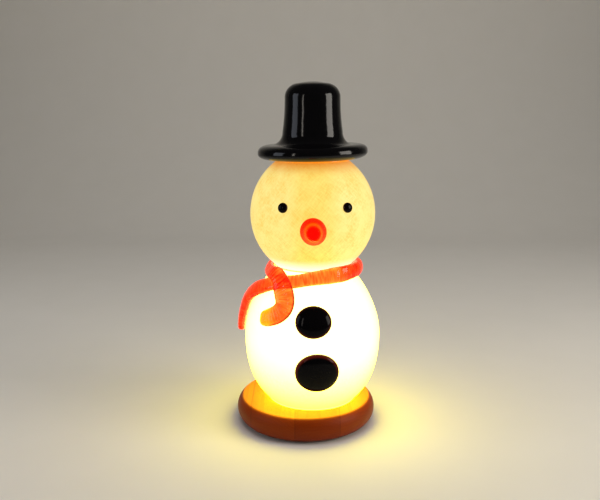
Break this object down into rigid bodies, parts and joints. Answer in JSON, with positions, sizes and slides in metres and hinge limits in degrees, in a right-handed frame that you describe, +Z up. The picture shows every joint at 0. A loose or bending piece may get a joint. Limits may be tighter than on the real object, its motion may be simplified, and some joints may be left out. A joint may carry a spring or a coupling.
{
  "type": "snowman table lamp",
  "caption": "Lit glass snowman lamp: stacked opal globes with a black glass hat, orange scarf, red nose and dome buttons, standing in a groove on a round wooden base over a small screw bulb.",
  "frame": {"origin": "on the underside of the felt, below the middle of the wooden base", "axes": "+Z up along the base's axis, -Y towards the front, where the face looks, +X to the right as seen from the front"},
  "size_m": [0.1337, 0.1349, 0.3142],
  "materials": {
    "beech": "turned and oiled, boards glued edge to edge",
    "felt": "pressed wool",
    "zinc_steel": "zinc plated",
    "black_plastic": "moulded",
    "silicone": "clear, moulded",
    "porcelain": "glazed",
    "brass": "pressed sheet",
    "nickel": "nickel plated",
    "white_plastic": "moulded",
    "opal_diffuser": "frosted, lit from inside",
    "body_glass": "opal white, satin, lit from inside",
    "head_glass": "opal cream, satin, lit from inside",
    "scarf_glass": "orange-red, rippled by hand",
    "red_glass": "clear red, fire polished",
    "black_glass": "opaque black, fire polished"
  },
  "bodies": {
    "base": {"wood_base": "beech", "felt_pad": "felt", "bottom_plate": "zinc_steel", "plate_screw_1": "zinc_steel", "plate_screw_2": "zinc_steel", "plate_screw_3": "zinc_steel", "cord_bush": "black_plastic", "rim_gasket": "silicone", "nipple": "zinc_steel", "nipple_nut": "zinc_steel", "nipple_washer": "zinc_steel", "holder_cap": "black_plastic", "holder_sleeve": "black_plastic", "holder_insert": "porcelain", "holder_screw_shell": "brass", "holder_contact": "brass"},
    "bulb": {"bulb_contact": "nickel", "bulb_insulator": "black_glass", "bulb_cap": "nickel", "bulb_collar": "white_plastic", "bulb_diffuser": "opal_diffuser"},
    "figure": {"body_globe": "body_glass", "head_globe": "head_glass", "neck_bond": "silicone", "hat": "black_glass", "hat_bond": "silicone", "eye_left": "black_glass", "eye_right": "black_glass", "nose": "red_glass", "button_upper": "black_glass", "button_lower": "black_glass", "scarf": "scarf_glass"}
  },
  "joints": [
    {"name": "figure_lift", "type": "slide", "parent": "base", "child": "figure", "axis": [0, 0, 1], "range_m": [0, 0.13]},
    {"name": "bulb_unscrew", "type": "slide", "parent": "base", "child": "bulb", "axis": [0, 0, 1], "range_m": [0, 0.026]}
  ]
}
